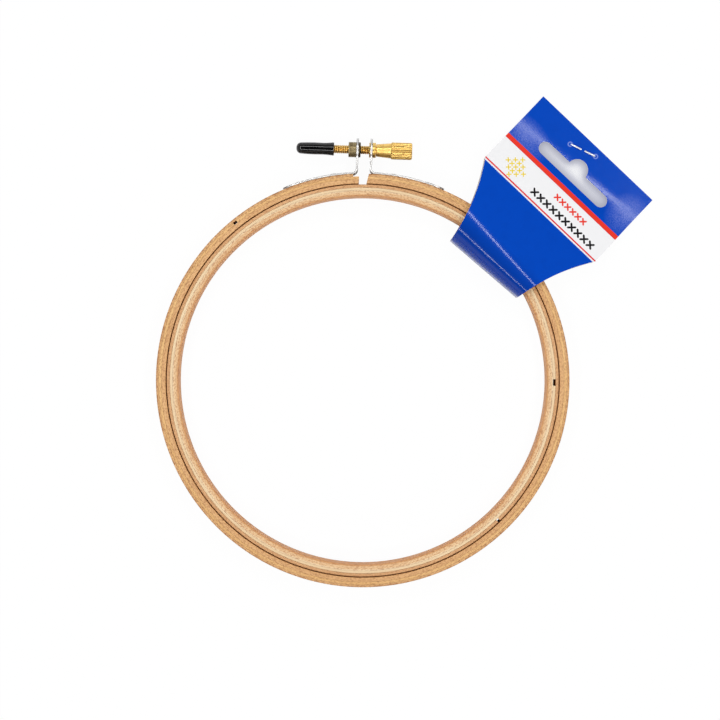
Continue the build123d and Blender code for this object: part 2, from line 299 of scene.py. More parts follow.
class Paint:
    def __init__(self, name, **constants):
        self.material = bpy.data.materials.new(name)
        self.material.use_nodes = True
        self.tree = self.material.node_tree
        self.shader = self.tree.nodes["Principled BSDF"]
        for socket, value in constants.items():
            self.shader.inputs[socket.replace("_", " ")].default_value = value

    def node(self, kind, settings=None, sockets=None, output=0):
        made = self.tree.nodes.new(kind)
        for name, value in (settings or {}).items():
            setattr(made, name, value)
        for name, value in (sockets or {}).items():
            self.link(value, made.inputs[name])
        return Wire(self, made.outputs[output])

    def link(self, value, socket):
        if isinstance(value, Wire):
            self.tree.links.new(value.socket, socket)
        else:
            socket.default_value = value

    def place(self, turn=0.0):
        """Object coordinates in millimetres, turned about Z."""
        coordinates = self.node("ShaderNodeTexCoord", output="Object")
        return self.node("ShaderNodeMapping", {}, {
            "Vector": coordinates, "Rotation": (0, 0, turn), "Scale": (1 / MM,) * 3})

    def split(self, vector):
        made = self.tree.nodes.new("ShaderNodeSeparateXYZ")
        self.link(vector, made.inputs[0])
        return [Wire(self, output) for output in made.outputs]

    def combine(self, x, y, z):
        return self.node("ShaderNodeCombineXYZ", {}, {0: x, 1: y, 2: z})

    def noise(self, vector, scale=1.0, detail=2.0, roughness=0.5):
        return self.node("ShaderNodeTexNoise", {}, {
            "Vector": vector, "Scale": scale, "Detail": detail, "Roughness": roughness})

    def blend(self, factor, first, second):
        """The first colour where the factor is 0, and the second where it is 1."""
        sockets = {MIX_FACTOR: factor, MIX_FIRST: first, MIX_SECOND: second}
        return self.node("ShaderNodeMix", {"data_type": "RGBA"}, sockets, MIX_RESULT)

    def bump(self, height, distance, strength):
        return self.node("ShaderNodeBump", {}, {
            "Height": height, "Distance": MM * distance, "Strength": strength})

    def finish(self, colour, roughness, normal):
        for name, value in (("Base Color", colour), ("Roughness", roughness), ("Normal", normal)):
            self.link(value, self.shader.inputs[name])
        return self.material


# %% [markdown]
# ## Wood of the strips
#
# Each ring is wound from thin strips, and what shows from above is their sawn and sanded edges: fine
# lines along the ring, short reddish flecks and slow changes of tone. A plain noise would run straight
# through the hoop, so the pattern is laid out in ring coordinates: the way round, the radius and the
# height. On the side away from the screw, a painted shade makes the wood a little darker.

# %% Wood finish
WOOD_SHINE, WOOD_ROUGHNESS = 0.4, 0.48
GRAIN_RADIUS = 63.0
SHADE_FROM, SHADE_OVER = 45.0, 60.0
HATCH_DEPTH, HATCH_BLUR = 0.8, 0.6
TONE_SHARE, SHADE_SHARE, STREAK_SHARE, HATCH_SHARE = 0.8, 0.45, 0.38, 0.7


def ring_wood(name, tone, deep, fleck, stipple, seed, seam=91.6, bands=(), hatch=None):
    """Wood of one strip: its colour, a deeper one, and its flecks with how strongly they show.

    The seam is the angle, in degrees, where the pattern starts and ends. A band is a radius, a width and
    the colour beyond that radius. Beyond the radius called hatch, the top edge has small nicks.
    """
    paint = Paint(name, Specular_IOR_Level=WOOD_SHINE)
    x, y, z = paint.split(paint.place(turn=radians(180.0 - seam)))
    radius = (x * x + y * y).root()
    way_round = y.math("ARCTAN2", x) * GRAIN_RADIUS

    def grain(long, wide, detail=1.0):
        return paint.noise(paint.combine(way_round / long + seed, radius / wide, z / wide), detail=detail)

    slow = grain(30, 2.4, 3.0)
    streaks = grain(11, 0.5, 2.0)
    pores = grain(0.75, 0.3, 2.0)
    dashes = grain(1.7, 0.4).step(0.66, 0.1)
    # Painted shade: the side away from the screw is blended towards the deeper tone.
    far_side_shade = (-1 * paint.split(paint.place())[1]).step(SHADE_FROM, SHADE_OVER)
    colour = paint.blend(slow.step(0.5, 0.4) * TONE_SHARE, tone, deep)
    colour = paint.blend(far_side_shade * SHADE_SHARE, colour, deep)
    for edge, width, ink in bands:
        colour = paint.blend(radius.step(edge, width), colour, ink)
    colour = paint.blend(streaks.step(0.56, 0.24) * STREAK_SHARE, colour, deep)
    colour = paint.blend(pores.step(0.55, 0.12) * stipple, colour, fleck)
    colour = paint.blend(dashes * stipple, colour, fleck)
    if hatch is not None:
        nicks = grain(0.7, 1.6, 2.0).step(0.5, 0.18)
        at_edge = radius.step(hatch, 0.5) * z.step(RING_TOP - HATCH_DEPTH, HATCH_BLUR)
        colour = paint.blend(at_edge * nicks * HATCH_SHARE, colour, fleck)
    height = streaks * 0.5 + pores * 0.3 - dashes * 0.5
    return paint.finish(colour, WOOD_ROUGHNESS + streaks * 0.14, paint.bump(height, 0.06, 0.6))


# %% [markdown]
# ## The six kinds of strip
#
# The strips come from different boards, so each has its own tone and starts its pattern elsewhere. The
# bead's darker inside wall is painted shade, and its rounded top is pale.

# %% Woods
lining_wood = ring_wood(
    "outer_lining_wood", srgb(226, 179, 124), srgb(206, 155, 100), srgb(158, 104, 62), 0.6, seed=5.2)
outer_core_wood = ring_wood(
    "outer_core_wood", srgb(232, 187, 126), srgb(214, 164, 102), srgb(164, 110, 64), 0.56, seed=7.7)
outer_wood = ring_wood(
    "outer_strip_wood", srgb(228, 182, 126), srgb(208, 158, 102), srgb(158, 102, 58), 0.62, seed=3.1,
    hatch=66.4)
# The bead's first two tones, inside its first band, are painted shade on its inner wall.
bead_wood = ring_wood(
    "bead_wood", srgb(212, 158, 102), srgb(202, 146, 92), srgb(168, 106, 66), 0.6, seed=11.3, seam=48.0,
    bands=((60.15, 0.4, srgb(229, 193, 146)), (61.2, 0.25, srgb(236, 210, 170))))
pale_wood = ring_wood(
    "pale_core_wood", srgb(238, 214, 176), srgb(222, 190, 146), srgb(206, 164, 120), 0.2, seed=2.4,
    seam=1.3)
recess_wood = ring_wood(
    "recessed_wood", srgb(224, 176, 126), srgb(202, 152, 102), srgb(156, 102, 62), 0.55, seed=9.6,
    seam=-44.0)
woods = (lining_wood, outer_core_wood, outer_wood, bead_wood, pale_wood, recess_wood)
print("woods:", [wood.name for wood in woods])

# %% [markdown]
# ## Wooden strips
#
# A strip is a rectangle with rounded corners that is carried round the hoop's centre. A tube with a
# thick wall would do, but Spin keeps the section in hand: one section goes round and leaves a closed bar
# of wood behind it. Strips that nearly close get a little less than a full turn, so their two ends leave
# the small dark butt gap of the real hoop.

# %% Strips
ROUNDING_STEPS = 6
CLAMP_MIDDLE_X = -2.35
END_REACH = 8.0
PLANE_REACH = 1e-7


def strip(ply, low, high, start, sweep, bore_round=0.0, face_round=0.0, steps=360):
    bore, wall = ply
    middle = bore + wall / 2
    clear_selection()
    centre = metres(middle, 0, (low + high) / 2)
    bpy.ops.mesh.primitive_plane_add(size=1, location=centre, rotation=(pi / 2, 0, 0))
    piece = bpy.context.object
    piece.scale = metres(wall, high - low, 1)
    settle(piece)
    for at_bore, rounding in ((True, bore_round), (False, face_round)):
        if rounding:
            edit(piece)
            pick(piece, "verts", lambda vertex: (vertex.co.x < MM * middle) == at_bore)
            bpy.ops.mesh.bevel(offset=MM * rounding, segments=ROUNDING_STEPS, affect="VERTICES")
    edit(piece)
    if sweep >= 360.0:
        bpy.ops.mesh.delete(type="ONLY_FACE")
        bpy.ops.mesh.select_all(action="SELECT")
    bpy.ops.mesh.spin(steps=steps, angle=radians(sweep), center=(0, 0, 0), axis=(0, 0, -1))
    return tidy_shell(move(piece, (0, 0, 0), radians(start)))


def trim_end(piece, side, corner, normal):
    """Saw through the end on one side of the clamp, and throw away what lies along the normal."""
    near = Vector(metres(*corner, 0))

    def at_end(face):
        centre = face.calc_center_median()
        on_side = side * (centre.x - MM * CLAMP_MIDDLE_X) > 0
        return on_side and (centre.xy - near.xy).length < MM * END_REACH

    edit(piece, "FACE")
    pick(piece, "faces", at_end)
    bpy.ops.mesh.bisect(
        plane_co=near, plane_no=normal, use_fill=True, clear_outer=True, threshold=PLANE_REACH)
    return tidy_shell(piece)


# %% [markdown]
# ## The outer ring
#
# Three strips run from one side of the clamp, round the bottom, to the other. The left ends are sawn
# square in a small step, with the outermost strip the shortest. The right end is one slanting cut. The
# middle strip also has a butt gap of its own. The ring bends when the screw is turned, but here each
# strip stays one rigid piece.

# %% Outer ring
LEFT_END_X = -3.4
LEFT_STEP_X = -5.3
RIGHT_CORNER = (-0.9, 63.8)
RIGHT_LEAN = radians(12.5)
JOIN_START_ANGLE = 92.6
JOIN_SWEEP = 359.0
CORE_GAP_ANGLE = 130.8
CORE_GAP_HALF = 0.59
BEND_RIGHT_X, BEND_LEFT_X = -1.0, -2.8


def outer_strip(ply, left_x, **rounds):
    bands = [(JOIN_START_ANGLE, JOIN_SWEEP)]
    if ply is OUTER_MIDDLE_PLY:
        before = CORE_GAP_ANGLE - CORE_GAP_HALF - JOIN_START_ANGLE
        after = CORE_GAP_ANGLE + CORE_GAP_HALF
        bands = [(JOIN_START_ANGLE, before), (after, JOIN_START_ANGLE + JOIN_SWEEP - after)]
    parts = [
        strip(ply, RING_BOTTOM, RING_TOP, start, sweep, steps=round(sweep), **rounds)
        for start, sweep in bands]
    trim_end(parts[0], -1, (left_x, ply[0]), (1, 0, 0))
    trim_end(parts[-1], 1, RIGHT_CORNER, (-cos(RIGHT_LEAN), sin(RIGHT_LEAN), 0))
    return joined(parts) if len(parts) > 1 else parts[0]


outer_ring = [
    ("outer_ring_lining", "inner", OUTER_INNER_PLY, LEFT_END_X, lining_wood, "outer_wood",
     {"bore_round": 0.25}),
    ("outer_ring_core", "middle", OUTER_MIDDLE_PLY, LEFT_END_X, outer_core_wood, "outer_core_wood", {}),
    ("outer_ring_face", "outer", OUTER_OUTER_PLY, LEFT_STEP_X, outer_wood, "outer_wood",
     {"face_round": 0.5}),
]
for name, ply_name, ply, left_x, wood, slot, rounds in outer_ring:
    piece = smooth(outer_strip(ply, left_x, **rounds))
    nodes = [f"outer_ring_{ply_name}_ply_{side}" for side in ("left", "right")]
    dress(piece, name, wood, slot, None, *nodes)
    bottom = -(ply[0] + ply[1] / 2)
    bend_start = metres(BEND_RIGHT_X, bottom, SCREW_HEIGHT)
    bend_end = metres(BEND_LEFT_X, bottom, SCREW_HEIGHT)
    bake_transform(piece)

# %% [markdown]
# ## The inner ring
#
# Two strips stand up as the pale rounded bead that shows inside the outer ring. The third is a little
# lower and darker, and lies against the seam. Each of the two outer ones has a butt gap, given here as
# its angle and half its width in degrees.

# %% Inner ring
SKIRT_DROP = 0.35
inner_ring = [
    ("inner_ring_skirt", "outer", INNER_OUTER_PLY, SKIRT_DROP, -44.0, 0.39, recess_wood,
     "inner_outer_wood", {"face_round": 0.3}),
    ("inner_ring_core", "middle", INNER_MIDDLE_PLY, 0.0, 1.3, 0.97, pale_wood,
     "inner_bead_wood", {"face_round": 0.3}),
    ("inner_ring_bead", "inner", INNER_INNER_PLY, 0.0, 0.0, 0.0, bead_wood,
     "inner_bead_wood", {"bore_round": 1.2}),
]
for name, ply_name, ply, drop, gap_angle, half_gap, wood, slot, rounds in inner_ring:
    piece = strip(
        ply, RING_BOTTOM + drop, RING_TOP - drop, gap_angle + half_gap, 360.0 - 2 * half_gap, **rounds)
    dress(smooth(piece), name, wood, slot, "inner_ring", f"inner_ring_{ply_name}_ply")

# %% [markdown]
# ## Turned metal
#
# Turned brass keeps fine rings from the lathe and goes brown where fingers don't polish it. The rings are
# a noise that is squeezed along the screw's axis. Painted shade darkens the thread, the spaces between the
# flutes, the nut's grooves and its inner collar, each given as the radius below which it lies, its two
# ends and its strength.

# %% Turned metal
TOOL_MARK, ROUND_MARK = 0.14, 60.0
PATCH_LENGTH, PATCH_WIDTH = 2.4, 1.6
THREAD_SHADE = (1.27, -22.0, 2.0, 0.55)
FLUTE_SHADE = (2.66, 6.9, 13.4, 0.4)
GROOVE_SHADE = (2.43, -7.0, -4.6, 0.85)
COLLAR_SHADE = (3.0, -3.9, -3.0, 0.85)


def turned_metal(name, bright, dull, hollow_shade, rough, marks, shaded_hollows=()):
    paint = Paint(name, Metallic=1.0)
    x, y, z = paint.split(paint.place())
    up, out = z - SCREW.z, y - SCREW.y
    radius = (up * up + out * out).root()
    patch_place = paint.combine(x / PATCH_LENGTH, y / PATCH_WIDTH, z / PATCH_WIDTH)
    patches = paint.noise(patch_place, detail=3.0).step(0.55, 0.5)
    rings = paint.noise(paint.combine(x / TOOL_MARK, y / ROUND_MARK, z / ROUND_MARK), detail=1.0)
    colour = paint.blend(patches * marks + rings.step(0.55, 0.4) * marks, bright, dull)
    # Painted shade in each hollow, below its radius and between its two ends.
    for depth, start, stop, strength in shaded_hollows:
        shade_mask = (1 - radius.step(depth, 0.12)) * x.between(start, stop, 0.1)
        colour = paint.blend(shade_mask * strength, colour, hollow_shade)
    return paint.finish(colour, rough + rings * 0.1 + patches * 0.08, paint.bump(rings, 0.015, 0.5))


# The third colour of each set is the painted shade of the hollows.
brass = srgb(250, 214, 128), srgb(216, 160, 78), srgb(104, 62, 22)
browned = srgb(226, 206, 156), srgb(112, 94, 64), srgb(52, 38, 24)
screw_brass = turned_metal("screw_brass", *brass, 0.26, 0.35, (THREAD_SHADE, FLUTE_SHADE))
bush_brass = turned_metal("bush_brass", *brass, 0.28, 0.4)
nut_brass = turned_metal("aged_brass", *browned, 0.36, 0.6, (GROOVE_SHADE, COLLAR_SHADE))
print("brass:", screw_brass.name, bush_brass.name, nut_brass.name)

# %% [markdown]
# ## Plated steel and vinyl
#
# The clamp's brackets are plated steel strip with light scuffs. All their faces but the middle of the
# strip's cut edge take a painted shade of grey, and a number on each face says which. The cap is soft
# black vinyl with a smooth skin.

# %% Plated steel and vinyl
SHADE_ATTRIBUTE = "painted_shade_face"


def plated_steel(name, bright, dull, rough, side_shade=None):
    """Steel with light scuffs. Faces marked for painted shade take the side_shade colour."""
    paint = Paint(name, Metallic=1.0)
    place = paint.place()
    clouds = paint.noise(place, 0.5, 3.0)
    scuffs = paint.noise(place, 3.0, 4.0, 0.7)
    base = bright
    if side_shade is not None:
        # Painted shade: faces marked by this attribute take the grey.
        shade_marks = paint.node("ShaderNodeAttribute", {"attribute_name": SHADE_ATTRIBUTE}, output="Fac")
        base = paint.blend(shade_marks, bright, side_shade)
    colour = paint.blend(clouds.step(0.55, 0.4) * 0.4, base, dull)
    colour = paint.blend(scuffs.step(0.64, 0.12) * 0.5, colour, dull)
    return paint.finish(colour, rough + scuffs * 0.16, paint.bump(scuffs, 0.02, 0.4))


bracket_steel = plated_steel(
    "bracket_steel", srgb(240, 239, 237), srgb(150, 148, 146), 0.3, side_shade=srgb(156, 155, 155))
brad_steel = plated_steel("brad_steel", srgb(200, 198, 196), srgb(150, 148, 144), 0.32)
staple_zinc = plated_steel("staple_zinc", srgb(248, 248, 250), srgb(200, 200, 204), 0.3)

paint = Paint("black_vinyl", Specular_IOR_Level=0.5)
grain = paint.noise(paint.place(), 2.2, 3.0)
black_vinyl = paint.finish(
    paint.blend(grain, srgb(2, 2, 3), srgb(6, 6, 7)), 0.04 + grain * 0.03,
    paint.bump(grain, 0.004, 0.2))
print("steel:", bracket_steel.name, brad_steel.name, staple_zinc.name)

# %% [markdown]
# ## Turned pieces
#
# The nut, the bush, the cap and the screw's grip are round about one axis. Each starts as half of its
# outline, drawn point by point from that axis, and Spin takes it round as a lathe would. Curved
# stretches of an outline are arcs through three points.

# %% Helpers for turned pieces


def drawn(points, closed=False):
    """Draw a chain of edges point by point, in millimetres, and stay in edit mode."""
    clear_selection()
    bpy.ops.mesh.primitive_plane_add(size=MM, location=metres(*points[0]))
    piece = settle(bpy.context.object)
    edit(piece)
    bpy.ops.mesh.merge(type="CENTER")
    for here, there in zip(points, points[1:]):
        step = metres(*(Vector(there) - Vector(here)))
        bpy.ops.mesh.extrude_vertices_move(TRANSFORM_OT_translate={"value": step})
    bpy.ops.mesh.select_all(action="SELECT")
    if closed:
        bpy.ops.mesh.edge_face_add()
    return piece


def turned(outline, steps=48):
    """Spin an outline about the screw's axis. Its points are (distance from the clamp, radius)."""
    piece = drawn([(CLAMP_X + x, radius, 0) for x, radius in outline])
    bpy.ops.mesh.spin(steps=steps, angle=2 * pi, center=(0, 0, 0), axis=(1, 0, 0))
    tidy_shell(piece)
    return move(piece, (0, SCREW.y, SCREW.z))


def arc_points(start, through, end, count):
    """Points of the arc from start to end that passes through a third point, all in one plane."""
    (ax, ay), (bx, by), (cx, cy) = start, through, end
    scale = 2 * (ax * (by - cy) + bx * (cy - ay) + cx * (ay - by))
    a_square, b_square, c_square = ax * ax + ay * ay, bx * bx + by * by, cx * cx + cy * cy
    middle_x = (a_square * (by - cy) + b_square * (cy - ay) + c_square * (ay - by)) / scale
    middle_y = (a_square * (cx - bx) + b_square * (ax - cx) + c_square * (bx - ax)) / scale
    radius = hypot(ax - middle_x, ay - middle_y)
    first = atan2(ay - middle_y, ax - middle_x)
    sweep = atan2(cy - middle_y, cx - middle_x) - first
    sweep = (sweep + pi) % (2 * pi) - pi
    turns = [first + sweep * step / count for step in range(count + 1)]
    return [(middle_x + radius * cos(turn), middle_y + radius * sin(turn)) for turn in turns]


# %% [markdown]
# ## The nut and the bush
#
# Both are riveted into the ears, so each has a thinner barrel through its ear and a collar on both sides
# of it. The nut has a few fine grooves from its turning tool. They could be a pattern, but cut into the
# outline they catch the light as the real ones do.

# %% Nut and bush
EAR_INSIDE, EAR_OUTSIDE = 1.92, 2.62
BARREL_RADIUS = 1.85
NUT_RADIUS, NUT_BORE, NUT_EDGE = 2.45, 1.57, 0.15
NUT_LENGTH, NUT_COLLAR = 2.58, 0.67
GROOVES_AT, GROOVE_HALF, GROOVE_DEPTH = (0.62, 1.16, 1.7), 0.07, 0.05
BUSH_RADIUS, BUSH_BORE, BUSH_EDGE = 2.43, 1.45, 0.12
BUSH_COLLAR, BUSH_LENGTH = 0.39, 1.1
CRISP = 30.0

nut_back, nut_front = -EAR_OUTSIDE - NUT_LENGTH, -EAR_INSIDE + NUT_COLLAR
grooves = []
for groove_x in GROOVES_AT:
    x = nut_back + groove_x
    grooves += [
        (x - GROOVE_HALF, NUT_RADIUS), (x, NUT_RADIUS - GROOVE_DEPTH), (x + GROOVE_HALF, NUT_RADIUS)]
nut_outline = [
    (nut_back, NUT_BORE), (nut_back, NUT_RADIUS - NUT_EDGE), (nut_back + NUT_EDGE, NUT_RADIUS), *grooves,
    (-EAR_OUTSIDE, NUT_RADIUS), (-EAR_OUTSIDE, BARREL_RADIUS), (-EAR_INSIDE, BARREL_RADIUS),
    (-EAR_INSIDE, NUT_RADIUS), (nut_front - NUT_EDGE, NUT_RADIUS), (nut_front, NUT_RADIUS - NUT_EDGE),
    (nut_front, NUT_BORE), (nut_back, NUT_BORE)]
nut = smooth(turned(nut_outline), CRISP)
dress(nut, "riveted_nut", nut_brass, "aged_brass", "left_half", "clamp_nut")

bush_back, bush_front = EAR_INSIDE - BUSH_COLLAR, EAR_OUTSIDE + BUSH_LENGTH
bush_outline = [
    (bush_back, BUSH_BORE), (bush_back, BUSH_RADIUS - BUSH_EDGE), (bush_back + BUSH_EDGE, BUSH_RADIUS),
    (EAR_INSIDE, BUSH_RADIUS), (EAR_INSIDE, BARREL_RADIUS), (EAR_OUTSIDE, BARREL_RADIUS),
    (EAR_OUTSIDE, BUSH_RADIUS), (bush_front - BUSH_EDGE, BUSH_RADIUS),
    (bush_front, BUSH_RADIUS - BUSH_EDGE), (bush_front, BUSH_BORE), (bush_back, BUSH_BORE)]
bush = smooth(turned(bush_outline), CRISP)
dress(bush, "riveted_bush", bush_brass, "screw_brass", "right_half", "screw_bush")

# %% [markdown]
# ## The soft cap
#
# The cap is a short dipped tube with a domed tip, which keeps the thread's end from scratching. Its body
# swells a little, narrows to a slight waist and flares at the mouth, where it was pulled over the thread.

# %% Soft cap
CAP_TIP, CAP_LENGTH, CAP_DOME = -22.2, 12.25, 1.5
CAP_FLAT, CAP_SHOULDER = 0.24, 1.56
CAP_BORE, CAP_BORE_END = 1.39, -18.58
CAP_RIM, CAP_RIM_RADIUS, CAP_MOUTH_RADIUS = 0.05, 2.1, 1.99

cap_mouth = CAP_TIP + CAP_LENGTH
dome = [
    (CAP_TIP + CAP_DOME * (1 - cos(turn)), CAP_FLAT + CAP_SHOULDER * sin(turn))
    for turn in (radians(10 * step) for step in range(10))]
body_curve = arc_points((-20.8, 1.8), (-17.0, 1.95), (-13.9, 1.91), 14)
mouth_curve = arc_points((-13.4, 1.91), (-11.7, 2.0), (-10.2, 2.15), 8)
cap_outline = [
    (CAP_TIP, 0), *dome, *body_curve[1:], *mouth_curve, (cap_mouth - CAP_RIM, CAP_RIM_RADIUS),
    (cap_mouth, CAP_MOUTH_RADIUS), (cap_mouth, CAP_BORE), (CAP_BORE_END, CAP_BORE), (CAP_BORE_END, 0)]
cap = smooth(turned(cap_outline, steps=64), angle=40)
dress(cap, "soft_cap", black_vinyl, "black_vinyl", "thread_cap", "thread_cap")

# %% [markdown]
# ## The screw's thread
#
# A real thread is one ridge that winds along the axis. One turn of its profile goes into a Screw
# modifier, which repeats it with a few turns to spare, and two bisects cut the winding to length.

# %% Thread
THREAD_PITCH, THREAD_CREST, THREAD_ROOT = 0.6, 1.37, 1.17
CREST_FROM, CREST_TO = 0.24, 0.36
THREAD_START, THREAD_END = -17.7, 4.0
THREAD_STEPS, SPARE_TURNS = 32, 2

thread = drawn([
    (0, THREAD_ROOT, 0), (CREST_FROM, THREAD_CREST, 0), (CREST_TO, THREAD_CREST, 0),
    (THREAD_PITCH, THREAD_ROOT, 0)])
turns = int((THREAD_END - THREAD_START) / THREAD_PITCH) + 2 * SPARE_TURNS
apply_modifier(
    thread, "SCREW", axis="X", angle=2 * pi, steps=THREAD_STEPS, render_steps=THREAD_STEPS,
    screw_offset=MM * THREAD_PITCH, iterations=turns, use_merge_vertices=True, merge_threshold=1e-6)
move(thread, (CLAMP_X + THREAD_START - SPARE_TURNS * THREAD_PITCH, SCREW.y, SCREW.z))
for x, side in ((THREAD_START, -1), (THREAD_END, 1)):
    edit(thread)
    bpy.ops.mesh.bisect(
        plane_co=metres(CLAMP_X + x, 0, 0), plane_no=(side, 0, 0), use_fill=True, clear_outer=True,
        threshold=PLANE_REACH)
tidy_shell(thread)
print("thread of", turns, "turns, cut to", THREAD_END - THREAD_START, "mm")

# %% [markdown]
# ## The screw's grip
#
# The neck and grip are turned, and the flutes are pressed in afterwards, as a knurling wheel does: every
# sixth line of points on the drum moves inwards, and its two neighbours move half as far. Cutting each
# flute would take 24 Booleans. The grip, the thread and the plain tip are then united into one shell.

# %% Grip and thumb screw
FLUTES, STEPS_PER_FLUTE, FLUTE_DEPTH = 24, 6, 0.2
NECK_START, NECK_RADIUS, NECK_EDGE = 3.8, 2.0, 0.1
HEAD_START, HEAD_END, HEAD_RADIUS, HEAD_EDGE = 8.6, 15.5, 2.75, 0.3
TIP_START, TIP_END, TIP_RADIUS, TIP_EDGE = -18.5, -17.6, 0.95, 0.2
DRUM_SLACK = 0.01

grip_outline = [
    (NECK_START, 0), (NECK_START, NECK_RADIUS - NECK_EDGE), (NECK_START + NECK_EDGE, NECK_RADIUS),
    (HEAD_START, HEAD_RADIUS - HEAD_EDGE), (HEAD_START + HEAD_EDGE, HEAD_RADIUS),
    (HEAD_END - HEAD_EDGE, HEAD_RADIUS), (HEAD_END, HEAD_RADIUS - HEAD_EDGE), (HEAD_END, 0)]
grip = turned(grip_outline, steps=FLUTES * STEPS_PER_FLUTE)


def press_lines(shift, depth):
    """Move one line of points in each flute inwards, this many steps beside the flute's middle."""

    def on_line(vertex):
        y, z = vertex.co.y / MM - SCREW.y, vertex.co.z / MM - SCREW.z
        line = round(degrees(atan2(z, y)) * FLUTES * STEPS_PER_FLUTE / 360)
        on_drum = hypot(y, z) > HEAD_RADIUS - DRUM_SLACK
        return on_drum and line % STEPS_PER_FLUTE == shift % STEPS_PER_FLUTE

    edit(grip)
    print("points in the lines", shift, "beside the flutes:", pick(grip, "verts", on_line))
    shrink = (HEAD_RADIUS - depth) / HEAD_RADIUS
    bpy.ops.transform.resize(value=(1, shrink, shrink), center_override=metres(*SCREW))


press_lines(0, FLUTE_DEPTH)
press_lines(1, FLUTE_DEPTH / 2)
press_lines(-1, FLUTE_DEPTH / 2)
tip = turned([
    (TIP_START, 0), (TIP_START, TIP_RADIUS), (TIP_START + TIP_EDGE, THREAD_ROOT), (TIP_END, THREAD_ROOT),
    (TIP_END, 0)], steps=32)
screw = cut(cut(grip, thread, "UNION"), tip, "UNION")
tidy_shell(screw, 0.0001)
dress(smooth(screw, CRISP), "fluted_thumb_screw", screw_brass, "screw_brass", "thumb_screw", "thumb_screw")

# %% [markdown]
# ## Brackets
#
# Each bracket is a strip of plated steel, bent into a leg along the ring and a round-headed ear. The CAD
# solid has its shape, so a copy of it is merged and its flat faces are joined again. An inset along the
# strip's cut edge then gives that edge a narrow sloping border on both sides, as shearing and tumbling
# leave it. The faces inside that border stay bright, and all the others are marked for a painted shade of
# grey.

# %% Brackets
EAR_START_Y, PUNCHED_HOLE = 71.5, 2.2
LEVEL, UPRIGHT = 0.95, 0.3
BORDER_WIDTH, BORDER_SLOPE = 0.19, 0.04


def merged_copy(node):
    take(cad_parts[node])
    bpy.ops.object.duplicate()
    piece = settle(bpy.context.object)
    piece.parent = None
    tidy_shell(piece, 0.001)
    edit(piece)
    bpy.ops.mesh.dissolve_limited(angle_limit=radians(0.5))
    clear_selection()
    return piece


def is_cut_edge(face):
    """The strip's sheared edge: its top and bottom, and the outline of the ear, but not the hole."""
    centre = face.calc_center_median() / MM
    in_hole = hypot(centre.y - SCREW.y, centre.z - SCREW.z) < PUNCHED_HOLE
    on_ear = centre.y > EAR_START_Y and abs(face.normal.x) < UPRIGHT
    return (abs(face.normal.z) > LEVEL or on_ear) and not in_hole


for side, body in (("left", "left_half"), ("right", "right_half")):
    bracket = merged_copy(f"{side}_bracket")
    edit(bracket, "FACE")
    print(side, "cut edge faces", pick(bracket, "faces", is_cut_edge))
    bpy.ops.mesh.inset(thickness=MM * BORDER_WIDTH, depth=MM * BORDER_SLOPE)
    clear_selection()
    # Painted shade: all faces but the middle of the cut edge are marked for the grey.
    shade_marks = bracket.data.attributes.new(SHADE_ATTRIBUTE, "FLOAT", "FACE")
    for face, mark in zip(bracket.data.polygons, shade_marks.data):
        mark.value = 0.0 if face.select else 1.0
    dress(
        smooth(bracket, CRISP), f"{side}_clamp_bracket", bracket_steel, "bracket_steel", body,
        f"{side}_bracket")

# %% [markdown]
# ## Brads and staple
#
# A brad is a small nail with a low domed head, and two of them hold each leg. One head is spun from its
# outline, with a short cone below it that sits in the leg, and is copied to its four places. The staple
# needs no more shape than its CAD solid has, so a merged copy of it gets smooth shading and its finish.

# %% Brads and staple
BRAD_ANGLES = (8.3, 18.6)
LEG_FACE = 67.68
BRAD_RISE, BRAD_RADIUS = 0.36, 1.54
CONE_DEPTH, CONE_RADIUS = 1.2, 0.55

dome_points = [
    (BRAD_RISE * cos(turn), BRAD_RADIUS * sin(turn), 0)
    for turn in (radians(15 * step) for step in range(7))]
dome = drawn([*dome_points, (-CONE_DEPTH, CONE_RADIUS, 0), (-CONE_DEPTH, 0, 0)])
bpy.ops.mesh.spin(steps=24, angle=2 * pi, center=(0, 0, 0), axis=(1, 0, 0))
tidy_shell(dome)
clamp_angle = degrees(acos(CLAMP_X / sum(OUTER_OUTER_PLY)))
for side, way, body in (("left", -1, "left_half"), ("right", 1, "right_half")):
    heads = []
    for spread in BRAD_ANGLES:
        take(dome)
        bpy.ops.object.duplicate()
        angle = radians(clamp_angle - way * spread)
        place = (LEG_FACE * cos(angle), LEG_FACE * sin(angle), SCREW.z)
        heads.append(move(bpy.context.object, place, angle))
    pair = smooth(joined(heads), angle=50)
    dress(pair, f"{side}_brad_heads", brad_steel, "brad_steel", body, f"{side}_bracket_brads")
bpy.data.objects.remove(dome)

staple = smooth(merged_copy("card_staple"), angle=40)
dress(staple, "wire_staple", staple_zinc, "staple_steel", "hang_card", "card_staple")

# %% [markdown]
# ## Print of the card
#
# The card is coated board, printed on its outside only. Its print is built from the distance along the
# card and across it: colour fields, thin lines and plain rows of cross-stitches. A picture would do the
# same, but sums stay sharp and need no file. In two patches the coating is rougher and a painted sheen
# lightens its blue, and a pale ring surrounds each place where the staple went through. A row of stitches
# is given as its place along the card, its two ends, the width of a stitch and the thickness of its
# thread.

